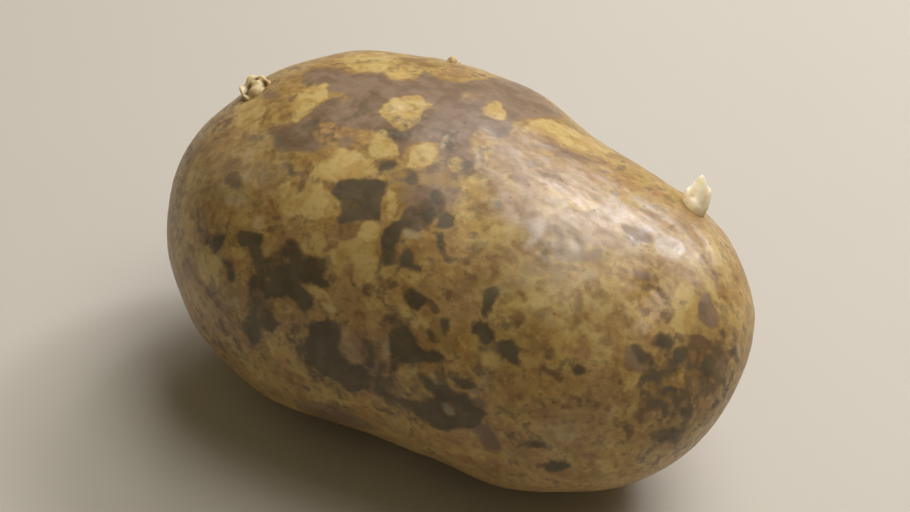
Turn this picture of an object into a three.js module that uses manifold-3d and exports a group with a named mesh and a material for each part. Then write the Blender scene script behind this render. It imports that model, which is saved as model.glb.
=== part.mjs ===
// A long potato that lies on a small flat spot of its belly. One eye near the growing end carries a
// stout pointed sprout, one near the other end an open rosette of bud scales, and one between them a
// small round bud. Millimetres, +Z up, with the long axis along X and the growing end at +X.
import * as THREE from "three";
import { mergeVertices } from "three/addons/utils/BufferGeometryUtils.js";
import Module from "manifold-3d";

const wasm = await Module();
wasm.setup();

// Driving dimensions: the half axes of the plain egg that the swellings and eyes stand on.
const HALF = new THREE.Vector3(52.5, 32.5, 28.5);
const SKIN_SPLITS = 19; // parts that each edge of the starting icosahedron is split into, less one
const FOOT_PRESS = 0.9; // how far the resting spot is pressed in from the roundest form
const FOOT_BLEND = 0.25; // height over which the resting spot runs out into the round belly
const SEAT_GAP = 0.3; // clearance between the root of a sprout and the skin of its eye

// A place on the tuber is along, in millimetres from the middle towards +X, and around, in degrees
// from the +Y side over the top (90) and the -Y side (180) to the belly (270).
// Swellings, and hollows where height is negative. At spread from its middle one has 61% left.
const SWELLINGS = [
  { along: -46, around: 20, height: -1.75, spread: 12 },
  { along: -48, around: 225, height: 0.3, spread: 12 },
  { along: -34, around: 45, height: 3.25, spread: 13 },
  { along: -36, around: 225, height: 2.9, spread: 13 },
  { along: -15, around: 45, height: 1.7, spread: 13 },
  { along: -18, around: 225, height: 2.8, spread: 13 },
  { along: 4, around: 45, height: 2.75, spread: 12 },
  { along: 3, around: 225, height: -0.6, spread: 12 },
  { along: 20, around: 45, height: -1.8, spread: 12 },
  { along: 22, around: 225, height: 1.65, spread: 12 },
  { along: 34, around: 45, height: 2.1, spread: 12 },
  { along: 36, around: 225, height: 3.85, spread: 12 },
  { along: 48, around: 45, height: 3.8, spread: 12 },
  { along: 48, around: 225, height: 3.15, spread: 12 },
  { along: 50, around: 0, height: 0.2, spread: 9 },
  { along: -50, around: 119, height: -0.9, spread: 9 },
  { along: 30, around: 236, height: -0.95, spread: 6 },
  { along: -42, around: 201, height: -0.5, spread: 8 },
  { along: -20, around: 135, height: 1, spread: 15 },
  { along: 18, around: 120, height: 1, spread: 14 },
  { along: 40, around: 150, height: 0.75, spread: 12 },
  { along: -25, around: 315, height: 1.5, spread: 15 },
  { along: 12, around: 320, height: -1, spread: 14 },
  { along: 32, around: 300, height: 1.5, spread: 13 },
  { along: 1, around: 270, height: 1.5, spread: 14 },
  { along: -38, around: 275, height: -1, spread: 12 },
  { along: 36, around: 262, height: -0.75, spread: 12 },
];

// Eyes: a pit, wider round the tuber than along it, under a curved brow on the side of the stem end.
const EYES = {
  sprout: { along: 38.1, around: 49, width: 7, depth: 0.7, brow: 1.1 },
  rosette: { along: -37.1, around: 88, width: 8, depth: 0.5, brow: 0.3 },
  button: { along: -11, around: 50.5, width: 6, depth: 0.35, brow: 0.25 },
  crown: { along: -7, around: 88, width: 5, depth: 0.5, brow: 0.3 },
  shoulder: { along: 42.5, around: 110, width: 8, depth: 0.5, brow: 0.35 },
  tip: { along: 50.5, around: 350, width: 7, depth: 0.9, brow: 0.6 },
  back: { along: 14, around: 0, width: 9, depth: 1.0, brow: 0.6 },
  backLow: { along: -27, around: 345, width: 9, depth: 1.1, brow: 0.7 },
  bellyBack: { along: 33, around: 300, width: 8, depth: 0.9, brow: 0.5 },
  bellyFront: { along: -22, around: 238, width: 7, depth: 0.8, brow: 0.4 },
};
const STEM_SCAR = { along: -51.6, around: 200, width: 7, depth: 1.3 }; // where the runner broke off
// The forms of an eye, as shares of its width: the pit's reach along and round the tuber, and the
// brow's distance from the pit's middle, its reach both ways and how far its ends bend forward.
const PIT = { along: 0.22, round: 0.36 };
const BROW = { shift: 0.42, along: 0.16, round: 0.5, bend: 0.9 };
// The forms of the scar: its dimple's reach and its rim's radius and reach as shares of its width,
// and the rim's height as a share of the dimple's depth.
const SCAR = { dimple: 0.36, rimRadius: 0.62, rimReach: 0.2, rimHeight: 0.45 };
const GATHER = 0.45; // how far the mesh draws together at an eye, as a share
const GATHER_REACH = 6.5; // and within what distance

// Faint waves of the whole skin, so that no part of it is a perfect egg.
const WAVE_HEIGHT = 0.14;
const WAVE_LENGTHS = [26, 21, 17, 14, 12];
const WAVE_SEED = 11;

// Shoots. Each is a fleshy core with bud scales round it: root is how deep its foot goes below the
// skin, upright how far it leans from the skin's normal towards straight up, as a share. fullest is
// the share of the core's profile that lies below its widest ring, and blunt makes it rounder when low.
const SPROUT = { height: 8.9, radius: 1.75, fullest: 0.25, blunt: 0.75, root: 1, upright: 0.9 };
const SPROUT_SCALES = [
  { turn: 180, out: 1.1, rise: 0, lean: 10, width: 3.3, thickness: 1.6, height: 5, curl: -0.1 },
  { turn: 122, out: 1.15, rise: 0.4, lean: 10, width: 3, thickness: 1.4, height: 5.7, curl: -0.2 },
  { turn: 65, out: 1.05, rise: 0.3, lean: 6, width: 2.8, thickness: 1.2, height: 6.2, curl: -0.3 },
  { turn: 10, out: 1.05, rise: 0.5, lean: 5, width: 2.6, thickness: 1.2, height: 6, curl: -0.4 },
  { turn: 305, out: 1.2, rise: 0.8, lean: 8, width: 2.9, thickness: 1.2, height: 5.4, curl: -0.35 },
  { turn: 245, out: 1, rise: 1.2, lean: 4, width: 2.6, thickness: 1.1, height: 4.6, curl: -0.3 },
  { turn: 140, out: 0.65, rise: 2.6, lean: 6, width: 2.4, thickness: 1.2, height: 4.6, curl: -0.2 },
];
const SPROUT_NUBS = [
  { turn: 40, out: 1.6, rise: 0.8, lean: 50 },
  { turn: 105, out: 1.6, rise: 0.5, lean: 55 },
  { turn: 160, out: 1.55, rise: 0.3, lean: 50 },
  { turn: 225, out: 1.6, rise: 0.3, lean: 55 },
  { turn: 272, out: 1.6, rise: 0.5, lean: 50 },
];
const NUB = { height: 1.3, radius: 0.45, fullest: 0, blunt: 0.6 }; // a root's first swelling
const ROSETTE = { height: 2.5, radius: 2.3, fullest: 0.3, blunt: 0.6, root: 1, upright: 0.1 };
const ROSETTE_SCALES = [
  { turn: 5, out: 1.6, rise: 0, lean: 10, width: 3.2, thickness: 1.2, height: 3.4, curl: 0.2 },
  { turn: 50, out: 1.6, rise: 0, lean: 9, width: 3.4, thickness: 1.2, height: 3.9, curl: 0.2 },
  { turn: 104, out: 1.8, rise: 0, lean: 15, width: 2.9, thickness: 1.1, height: 3.2, curl: 0.3 },
  { turn: 150, out: 1.8, rise: 0, lean: 16, width: 2.3, thickness: 0.9, height: 2.1, curl: 0.2 },
  { turn: 322, out: 1.6, rise: 0, lean: 14, width: 2.7, thickness: 1.2, height: 2.8, curl: 0.2 },
  { turn: 268, out: 1.7, rise: 0, lean: 44, width: 4.2, thickness: 1.4, height: 3.3, curl: 0.35 },
  { turn: 25, out: 0.6, rise: 0.9, lean: 10, width: 2.3, thickness: 0.9, height: 2.2, curl: 0.1 },
];
const BUTTON = { height: 2.2, radius: 1.35, fullest: 0.3, blunt: 0.5, root: 0.9, upright: 0.2 };
const BUTTON_SCALES = [
  { turn: 30, out: 0.95, rise: 0, lean: 12, width: 1.9, thickness: 0.9, height: 1.9, curl: 0.1 },
  { turn: 150, out: 0.95, rise: 0, lean: 14, width: 1.9, thickness: 0.9, height: 1.8, curl: 0.1 },
  { turn: 285, out: 0.95, rise: 0, lean: 14, width: 2, thickness: 0.9, height: 1.9, curl: 0.1 },
];
const SCALE_FOOT = 1.1; // how wide a bud scale starts, as a share of its width
const SCALE_TAPER = 0.35; // and how much of it is gone at its top
const SCALE_CUP = 0.35; // how far its edges bend towards the shoot
const CORE_SIDES = 20;
const SCALE_SIDES = 14;
const NUB_SIDES = 8;

const TAN_SKIN = new THREE.MeshStandardMaterial({ color: 0xa98a52, roughness: 0.45, metalness: 0 });
const PALE_SHOOT = new THREE.MeshStandardMaterial({ color: 0xe2d6a4, roughness: 0.5, metalness: 0 });
const GREENISH_BUD = new THREE.MeshStandardMaterial({ color: 0xc3b07c, roughness: 0.6, metalness: 0 });

// A repeatable random draw between 0 and 1.
function makeDraw(seed) {
  let state = seed;
  return () => {
    state = (state * 1664525 + 1013904223) % 4294967296;
    return state / 4294967296;
  };
}

function makeWaves() {
  const draw = makeDraw(WAVE_SEED);
  return WAVE_LENGTHS.map((length) => {
    const heading = new THREE.Vector3(draw() - 0.5, draw() - 0.5, draw() - 0.5).normalize();
    return { along: heading.multiplyScalar((2 * Math.PI) / length), phase: draw() * 2 * Math.PI };
  });
}

// The unit direction, in the plain egg's own stretched space, of a place on the tuber.
function directionAt({ along, around }) {
  const u = along / HALF.x;
  const ring = Math.sqrt(1 - u * u);
  const turn = THREE.MathUtils.degToRad(around);
  return new THREE.Vector3(u, ring * Math.cos(turn), ring * Math.sin(turn));
}

const eggPoint = (direction) => direction.clone().multiply(HALF);
const eggNormal = (direction) => direction.clone().divide(HALF).normalize();

// An eye's own axes on the plain egg: its middle, the way to the growing end and the way round.
function eyeFrame(place) {
  const direction = directionAt(place);
  const normal = eggNormal(direction);
  const forward = new THREE.Vector3(1, 0, 0).addScaledVector(normal, -normal.x).normalize();
  const sideways = normal.clone().cross(forward);
  return { ...place, direction, middle: eggPoint(direction), forward, sideways };
}

const waves = makeWaves();
const swellings = SWELLINGS.map((place) => ({ ...place, middle: eggPoint(directionAt(place)) }));
const eyes = Object.values(EYES).map(eyeFrame);
const scar = eyeFrame(STEM_SCAR);

const bell = (distance, reach) => Math.exp(-((distance / reach) ** 2));

// Height of one eye's relief at a point of the plain egg.
function eyeRelief(eye, point) {
  const offset = point.clone().sub(eye.middle).divideScalar(eye.width);
  if (offset.length() > 2) return 0;
  const along = offset.dot(eye.forward);
  const round = offset.dot(eye.sideways);
  const pit = bell(along, PIT.along) * bell(round, PIT.round);
  const brow = bell(along + BROW.shift - BROW.bend * round ** 2, BROW.along) * bell(round, BROW.round);
  return eye.brow * brow - eye.depth * pit;
}

// The stem end's scar: a round dimple with a low rim.
function scarRelief(point) {
  const away = point.distanceTo(scar.middle) / scar.width;
  return scar.depth * (SCAR.rimHeight * bell(away - SCAR.rimRadius, SCAR.rimReach) - bell(away, SCAR.dimple));
}

// A point of the rounded skin, extra millimetres outside it, before the belly is pressed flat.
function roundPoint(direction, extra = 0) {
  const point = eggPoint(direction);
  let height = extra + scarRelief(point);
  for (const swelling of swellings) {
    const away = point.distanceTo(swelling.middle) / swelling.spread;
    height += swelling.height * Math.exp((-away * away) / 2);
  }
  for (const eye of eyes) height += eyeRelief(eye, point);
  for (const wave of waves) height += WAVE_HEIGHT * Math.sin(point.dot(wave.along) + wave.phase);
  return point.addScaledVector(eggNormal(direction), height);
}

// Closed triangles over all directions, drawn together at the eyes, where the relief is finest.
function skinGrid() {
  const grid = new THREE.IcosahedronGeometry(1, SKIN_SPLITS);
  grid.deleteAttribute("normal");
  grid.deleteAttribute("uv");
  const merged = mergeVertices(grid, 1e-5);
  const position = merged.getAttribute("position");
  const direction = new THREE.Vector3();
  for (let i = 0; i < position.count; i += 1) {
    direction.fromBufferAttribute(position, i).normalize();
    for (const eye of [...eyes, scar]) {
      const away = eggPoint(direction).distanceTo(eye.middle) / GATHER_REACH;
      direction.lerp(eye.direction, GATHER * Math.exp(-away * away)).normalize();
    }
    position.setXYZ(i, direction.x, direction.y, direction.z);
  }
  return merged;
}

const grid = skinGrid();

// The tuber's closed skin, extra millimetres outside the true one.
function skinGeometry(extra) {
  const skin = grid.clone();
  const position = skin.getAttribute("position");
  const direction = new THREE.Vector3();
  for (let i = 0; i < position.count; i += 1) {
    const point = roundPoint(direction.fromBufferAttribute(position, i), extra);
    position.setXYZ(i, point.x, point.y, point.z);
  }
  return skin;
}

// Presses everything below the resting height up to it, with a smooth run-out.
function pressFoot(geometry) {
  geometry.computeBoundingBox();
  const foot = geometry.boundingBox.min.z + FOOT_PRESS;
  const position = geometry.getAttribute("position");
  for (let i = 0; i < position.count; i += 1) {
    const above = position.getZ(i) - foot;
    if (above < -FOOT_BLEND) position.setZ(i, foot);
    else if (above < FOOT_BLEND) position.setZ(i, foot + (above + FOOT_BLEND) ** 2 / (4 * FOOT_BLEND));
  }
  geometry.computeBoundingBox();
  return geometry;
}

// A closed geometry as a manifold solid, without its seam's doubled vertices.
function solidOf(geometry) {
  const bare = geometry.clone();
  bare.deleteAttribute("normal");
  bare.deleteAttribute("uv");
  const merged = mergeVertices(bare, 1e-4);
  const corners = merged.index.array;
  const kept = [];
  for (let i = 0; i < corners.length; i += 3) {
    const [a, b, c] = corners.slice(i, i + 3);
    if (a !== b && b !== c && c !== a) kept.push(a, b, c);
  }
  const mesh = new wasm.Mesh({
    numProp: 3,
    vertProperties: new Float32Array(merged.getAttribute("position").array),
    triVerts: new Uint32Array(kept),
  });
  return new wasm.Manifold(mesh);
}

function geometryOf(solid) {
  const { vertProperties, triVerts } = solid.getMesh();
  const geometry = new THREE.BufferGeometry();
  geometry.setAttribute("position", new THREE.BufferAttribute(vertProperties, 3));
  geometry.setIndex(new THREE.BufferAttribute(triVerts, 1));
  geometry.computeVertexNormals();
  return geometry;
}

// A round fleshy body that rises from z = 0 and closes at its top.
function fleshyCore({ height, radius, fullest, blunt }, sides) {
  const ball = new THREE.SphereGeometry(1, sides, sides - 4).rotateX(Math.PI / 2);
  const position = ball.getAttribute("position");
  for (let i = 0; i < position.count; i += 1) {
    const share = (position.getZ(i) + 1) / 2;
    const reach = Math.hypot(position.getX(i), position.getY(i)) || 1;
    const profile = Math.sin(Math.PI * Math.min(1, fullest + (1 - fullest) * share)) ** blunt;
    const stretch = (radius * profile) / reach;
    position.setXYZ(i, position.getX(i) * stretch, position.getY(i) * stretch, share * height);
  }
  return ball;
}

// A bud scale: a cupped lobe that rises from z = 0, narrows and curls over away from the axis, in +Y.
function budScale({ width, thickness, height, curl }) {
  const ball = new THREE.SphereGeometry(1, SCALE_SIDES, SCALE_SIDES - 2).rotateX(Math.PI / 2);
  const position = ball.getAttribute("position");
  for (let i = 0; i < position.count; i += 1) {
    const share = (position.getZ(i) + 1) / 2;
    const x = position.getX(i) * (width / 2) * (SCALE_FOOT - SCALE_TAPER * share);
    const cupped = (thickness / 2) * position.getY(i) - (SCALE_CUP * x * x) / width;
    position.setXYZ(i, x, cupped + curl * share * share, share * height);
  }
  return ball;
}

// Stands a geometry beside the shoot's axis: out from it, raised above the root and leaning outwards.
function stand(geometry, { turn, out, rise, lean }) {
  return geometry
    .rotateX(THREE.MathUtils.degToRad(-lean))
    .translate(0, out, rise)
    .rotateZ(THREE.MathUtils.degToRad(turn));
}

// One body of a core, its bud scales and its root nubs.
function shootOf(core, scales, nubs = []) {
  const pieces = [
    fleshyCore(core, CORE_SIDES),
    ...scales.map((scale) => stand(budScale(scale), scale)),
    ...nubs.map((nub) => stand(fleshyCore(NUB, NUB_SIDES), nub)),
  ];
  return pieces.map(solidOf).reduce((all, one) => all.add(one));
}

// Sets a shoot in its eye and cuts its root off along the skin.
const UP = new THREE.Vector3(0, 0, 1);
function planted(shoot, eye, { upright, root }) {
  const { direction } = eyeFrame(eye);
  const axis = eggNormal(direction).lerp(UP, upright).normalize();
  const turn = new THREE.Quaternion().setFromUnitVectors(UP, axis);
  const foot = roundPoint(direction).addScaledVector(axis, -root);
  const geometry = geometryOf(shoot).applyQuaternion(turn).translate(foot.x, foot.y, foot.z);
  return geometryOf(largest(solidOf(geometry).subtract(clearance)));
}

// The cut leaves a shoot and crumbs of its root: the shoot is the one with the most volume.
function largest(solid) {
  return solid.decompose().reduce((best, part) => (part.volume() > best.volume() ? part : best));
}

function named(name, geometry, material) {
  const mesh = new THREE.Mesh(geometry, material);
  mesh.name = name;
  return mesh;
}

const clearance = solidOf(skinGeometry(SEAT_GAP));
const tuber = pressFoot(skinGeometry(0));
tuber.computeVertexNormals();

const sprout = planted(shootOf(SPROUT, SPROUT_SCALES, SPROUT_NUBS), EYES.sprout, SPROUT);
const rosette = planted(shootOf(ROSETTE, ROSETTE_SCALES), EYES.rosette, ROSETTE);
const button = planted(shootOf(BUTTON, BUTTON_SCALES), EYES.button, BUTTON);

const potato = new THREE.Group();
potato.add(named("tuber", tuber, TAN_SKIN));
potato.add(named("pointed_sprout", sprout, PALE_SHOOT));
potato.add(named("rosette_bud", rosette, GREENISH_BUD));
potato.add(named("button_bud", button, GREENISH_BUD));

// The frame's origin is on the surface that the potato lies on, under the middle of its box.
const box = new THREE.Box3().setFromObject(potato);
const middle = box.getCenter(new THREE.Vector3());
potato.position.set(-middle.x, -middle.y, -box.min.z);

export default potato;
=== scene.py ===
import math
import random

import bpy
import numpy as np
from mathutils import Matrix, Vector, noise
from mathutils.bvhtree import BVHTree


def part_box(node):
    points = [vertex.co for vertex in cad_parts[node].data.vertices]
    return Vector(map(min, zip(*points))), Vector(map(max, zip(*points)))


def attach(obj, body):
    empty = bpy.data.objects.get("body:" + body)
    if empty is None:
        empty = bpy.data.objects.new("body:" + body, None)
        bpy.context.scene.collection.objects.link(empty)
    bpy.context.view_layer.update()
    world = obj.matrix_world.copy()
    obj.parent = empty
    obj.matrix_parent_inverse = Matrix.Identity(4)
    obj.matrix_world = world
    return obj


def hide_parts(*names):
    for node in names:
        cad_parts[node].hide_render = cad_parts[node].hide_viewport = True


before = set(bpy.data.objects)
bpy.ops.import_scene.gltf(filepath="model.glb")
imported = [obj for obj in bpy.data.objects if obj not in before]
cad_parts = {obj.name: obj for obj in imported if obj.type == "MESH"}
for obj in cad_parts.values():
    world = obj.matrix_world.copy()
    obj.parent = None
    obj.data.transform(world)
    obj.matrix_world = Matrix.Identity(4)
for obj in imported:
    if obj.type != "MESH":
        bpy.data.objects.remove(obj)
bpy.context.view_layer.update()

MM = 0.001
TINY = 1e-9              # keeps a division away from zero

# Camera: where the photograph was taken from, and what it looks at.
PHOTO_WIDE, PHOTO_HIGH = 910, 512
LENS, SENSOR = 100.0, 36.0
AZIMUTH, ELEVATION = math.radians(32.0), math.radians(40.0)
DISTANCE = 432.4 * MM
LOOK_RIGHT, LOOK_UP = 0.53 * MM, 1.79 * MM

BACK = Vector((math.sin(AZIMUTH) * math.cos(ELEVATION),
               -math.cos(AZIMUTH) * math.cos(ELEVATION),
               math.sin(ELEVATION)))
RIGHT = Vector((math.cos(AZIMUTH), math.sin(AZIMUTH), 0.0))
UP = BACK.cross(RIGHT)
TUBER_LOW, TUBER_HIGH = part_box("tuber")
LOOK_AT = (TUBER_LOW + TUBER_HIGH) / 2 + RIGHT * LOOK_RIGHT + UP * LOOK_UP
EYE = LOOK_AT + BACK * DISTANCE
FOCAL_PIXELS = LENS / SENSOR * PHOTO_WIDE


def pixel_ray(px, py):
    """The direction from the camera through a pixel of the photograph."""
    right = (px - PHOTO_WIDE / 2) / FOCAL_PIXELS
    up = (PHOTO_HIGH / 2 - py) / FOCAL_PIXELS
    return (RIGHT * right + UP * up - BACK).normalized()


# Objects and meshes.

def placed(name, data):
    """A new object in the scene."""
    made = bpy.data.objects.new(name, data)
    bpy.context.scene.collection.objects.link(made)
    return made


def mesh_from(name, points, faces):
    """A smooth-shaded mesh from its points and faces."""
    mesh = bpy.data.meshes.new(name)
    mesh.from_pydata(points.tolist(), [], faces.tolist())
    mesh.shade_smooth()
    return mesh


def rows(items, name, width=3, kind=float):
    """One attribute of all the points, edges or corners of a mesh, a row for each."""
    values = np.empty(len(items) * width, kind)
    items.foreach_get(name, values)
    return values.reshape(-1, width)


def points_of(mesh):
    return rows(mesh.vertices, "co")


def normals_of(mesh):
    return rows(mesh.vertex_normals, "vector")


def welded(node):
    """A CAD node's own surface as points and triangles, with the doubled points joined."""
    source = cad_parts[node].data
    decimals = 7             # of a metre: a tenth of a micron
    points, place = np.unique(points_of(source).round(decimals), axis=0, return_inverse=True)
    corners = rows(source.loops, "vertex_index", 1, int).reshape(-1)
    return points, place.reshape(-1)[corners].reshape(-1, 3)


def applied(mesh, kind, **settings):
    """A mesh after one modifier."""
    carrier = placed("carrier", mesh)
    modifier = carrier.modifiers.new(kind, kind)
    for key, value in settings.items():
        setattr(modifier, key, value)
    graph = bpy.context.evaluated_depsgraph_get()
    result = bpy.data.meshes.new_from_object(carrier.evaluated_get(graph))
    bpy.data.objects.remove(carrier)
    result.shade_smooth()
    return result


def move_points(mesh, points):
    mesh.vertices.foreach_set("co", points.reshape(-1))
    mesh.update()


def evened(mesh, points, times):
    """Points evened out along the edges of a mesh, some number of times."""
    edges = rows(mesh.edges, "vertices", 2, int)
    first, second = edges.T
    count = np.bincount(edges.reshape(-1), minlength=len(mesh.vertices))[:, None]
    for _ in range(times):
        total = np.zeros_like(points)
        np.add.at(total, first, points[second])
        np.add.at(total, second, points[first])
        points = total / count
    return points


def tree_of(mesh):
    return BVHTree.FromPolygons([v.co for v in mesh.vertices], [tuple(p.vertices) for p in mesh.polygons])


def paint(mesh, name, values):
    """Keeps one number for each point of a mesh, for its material to read."""
    layer = mesh.attributes.new(name, "FLOAT", "POINT")
    layer.data.foreach_set("value", np.clip(values, 0.0, 1.0))


def ease(values, low, high):
    """0 below low, 1 above high, and smooth between them."""
    t = np.clip((values - low) / (high - low), 0.0, 1.0)
    return t * t * (3.0 - 2.0 * t)


def grain_noise(points, size, seed):
    """Smooth noise from -1 to 1 whose lumps are about this size."""
    offset = Vector((seed * 7.3, seed * 3.1, seed * 5.7))
    return np.array([noise.noise(Vector(p) / size + offset) for p in points])


# The marks of the skin, and where its highlight and sheen are painted, in pixels of the photograph. A patch
# is how strong it is, and the corners of its outline. A stroke is how strong and how wide it is, and the
# pixels that it runs through. A zone is a broad place where such marks are common: how strong, its middle,
# and its width and height. A crease is its width and its depth in mm, and the pixels that it runs through.
PATCHES, STROKES, ZONES = {}, {}, {}
PATCHES["dark"] = [
    [1.0, 333,190, 340,181, 350,179, 370,180, 387,181, 385,188, 383,194, 380,204, 380,213, 379,219, 366,220,
     354,221, 345,223, 339,226, 336,219, 341,212, 340,203, 334,197],
    [1.0, 404,221, 393,223, 385,229, 381,240, 381,252, 381,261, 384,267, 391,265, 396,261, 397,252, 394,243,
     399,237, 402,231, 407,225],
    [0.9, 401,251, 409,247, 414,252, 414,260, 419,267, 422,272, 415,271, 407,267, 400,266, 399,258],
    [0.5, 404,211, 411,204, 421,201, 430,199, 430,192, 434,189, 441,192, 443,203, 442,212, 438,216, 432,221,
     428,230, 418,230, 408,228, 401,221],
    [1.0, 439,216, 446,213, 454,216, 454,226, 446,229, 436,227],
    [0.9, 436,233, 442,233, 444,242, 445,251, 441,254, 436,248],
    [0.6, 404,169, 413,169, 418,176, 417,184, 410,187, 405,180],
    [0.6, 375,162, 384,159, 396,159, 397,166, 389,170, 379,170, 374,167],
    [0.7, 224,176, 230,171, 238,170, 242,178, 243,186, 237,190, 230,188, 224,182],
    [0.6, 287,163, 292,163, 294,174, 289,176],
    [0.9, 212,236, 219,232, 225,237, 224,245, 219,250, 215,254, 212,247],
    [0.6, 200,228, 207,228, 211,235, 210,243, 204,246, 200,240],
    [1.0, 235,236, 240,231, 249,231, 258,234, 265,238, 262,244, 259,249, 262,257, 256,259, 250,252, 247,246,
     240,246],
    [0.8, 224,260, 230,259, 233,268, 235,280, 231,285, 226,275],
    [1.0, 271,277, 283,276, 293,281, 300,287, 308,292, 313,300, 312,309, 305,311, 298,309, 296,300, 287,297,
     276,296, 270,290],
    [0.9, 293,262, 304,258, 314,257, 323,260, 326,270, 324,279, 331,287, 322,288, 312,283, 300,281,
     293,272],
    [0.7, 251,253, 260,258, 268,258, 275,253, 282,247, 286,240, 293,238, 298,246, 304,256, 295,262, 293,272,
     297,281, 283,277, 268,278, 256,272, 251,263],
    [0.65, 250,272, 262,274, 270,280, 272,292, 268,302, 272,312, 276,322, 274,331, 262,330, 258,340,
     252,352, 247,340, 250,325, 246,310, 248,295],
    [0.5, 258,319, 268,317, 276,322, 274,331, 264,331, 257,327],
    [1.0, 309,324, 320,321, 331,322, 339,328, 340,337, 337,346, 341,354, 347,363, 354,367, 362,368, 367,373,
     370,381, 366,388, 356,391, 347,389, 339,381, 331,376, 320,370, 313,364, 308,356, 306,346, 310,336],
    [0.5, 294,353, 299,346, 307,343, 310,352, 314,364, 310,367, 301,361],
    [0.7, 360,338, 368,339, 373,347, 375,357, 372,367, 364,361, 360,351],
    [0.9, 389,330, 394,326, 401,326, 409,329, 413,336, 417,344, 424,350, 432,351, 440,352, 443,357, 440,362,
     430,360, 420,361, 411,361, 401,363, 396,369, 391,375, 390,362, 391,350, 388,339],
    [0.4, 381,314, 390,316, 400,318, 409,321, 411,328, 401,327, 392,328, 384,330, 380,322],
    [1.0, 397,400, 406,400, 421,401, 432,400, 437,398, 430,391, 423,383, 418,375, 425,374, 431,382, 440,386,
     449,387, 455,391, 466,393, 470,401, 474,408, 481,410, 486,414, 481,420, 477,425, 469,429, 457,427,
     449,431, 440,429, 430,424, 421,419, 414,411, 405,405],
    [0.9, 456,380, 462,378, 470,380, 475,386, 467,389, 460,389, 456,385],
    [1.0, 472,327, 478,324, 485,325, 491,329, 494,335, 492,341, 487,344, 480,343, 478,336, 472,332],
    [1.0, 499,344, 505,341, 512,340, 515,346, 517,352, 516,358, 520,362, 515,366, 509,361, 504,356,
     500,350],
    [1.0, 404,289, 412,288, 420,293, 427,297, 426,304, 422,307, 418,311, 411,309, 406,303, 403,296],
    [0.8, 487,289, 495,287, 499,292, 497,299, 493,305, 490,312, 485,318, 481,313, 484,305, 484,296],
    [0.8, 441,320, 446,318, 448,324, 447,331, 446,336, 443,332, 441,326],
    [0.9, 572,366, 578,365, 584,368, 583,374, 577,376, 572,372],
    [0.8, 521,439, 529,440, 537,442, 543,443, 545,448, 538,450, 528,449, 522,446],
    [1.0, 543,465, 548,465, 553,461, 562,462, 570,464, 566,469, 557,473, 550,472, 544,469],
    [0.8, 648,341, 655,335, 661,332, 668,337, 673,343, 670,348, 662,349, 655,347, 649,347],
    [0.8, 631,346, 638,345, 642,351, 652,354, 654,361, 650,368, 641,366, 637,358],
    [1.0, 674,352, 679,348, 686,349, 688,354, 684,359, 677,360, 673,356],
    [0.8, 643,370, 650,368, 658,372, 665,370, 664,378, 656,382, 649,381, 642,378],
    [0.5, 663,364, 668,358, 676,358, 677,364, 672,369, 665,371],
    [0.9, 661,389, 667,386, 675,388, 676,391, 668,394, 664,398, 660,395],
    [0.5, 658,398, 664,399, 668,406, 669,415, 662,416, 658,408],
    [0.6, 678,408, 686,407, 692,411, 689,417, 681,417],
    [0.8, 702,364, 710,358, 717,356, 713,366, 710,374, 710,384, 702,386, 699,378],
    [0.7, 649,434, 656,431, 668,428, 680,430, 682,438, 676,443, 662,443, 651,441],
    [0.6, 621,424, 627,423, 634,426, 633,431, 627,433, 622,430],
    [0.6, 493,202, 499,200, 504,204, 504,210, 499,214, 494,211],
    [0.5, 533,262, 537,257, 543,251, 547,242, 551,239, 551,248, 548,256, 541,261],
    [0.3, 512,315, 518,312, 524,316, 524,323, 518,327, 512,324],
    [0.3, 284,128, 298,124, 312,116, 318,120, 314,132, 312,142, 304,149, 292,148, 284,140],
    [0.25, 352,104, 360,96, 372,90, 382,94, 384,102, 376,112, 378,122, 364,124, 352,118],
    [0.35, 388,131, 396,132, 404,138, 402,143, 394,140],
    [0.35, 441,134, 456,132, 464,140, 462,152, 450,155, 441,152],
    [0.35, 488,122, 500,122, 511,128, 510,137, 500,139, 490,132],
    [0.35, 275,138, 282,136, 287,141, 285,150, 278,153, 274,147],
    [0.4, 302,76, 312,75, 314,86, 306,88],
    [0.35, 462,160, 471,160, 473,173, 464,176],
]
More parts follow.
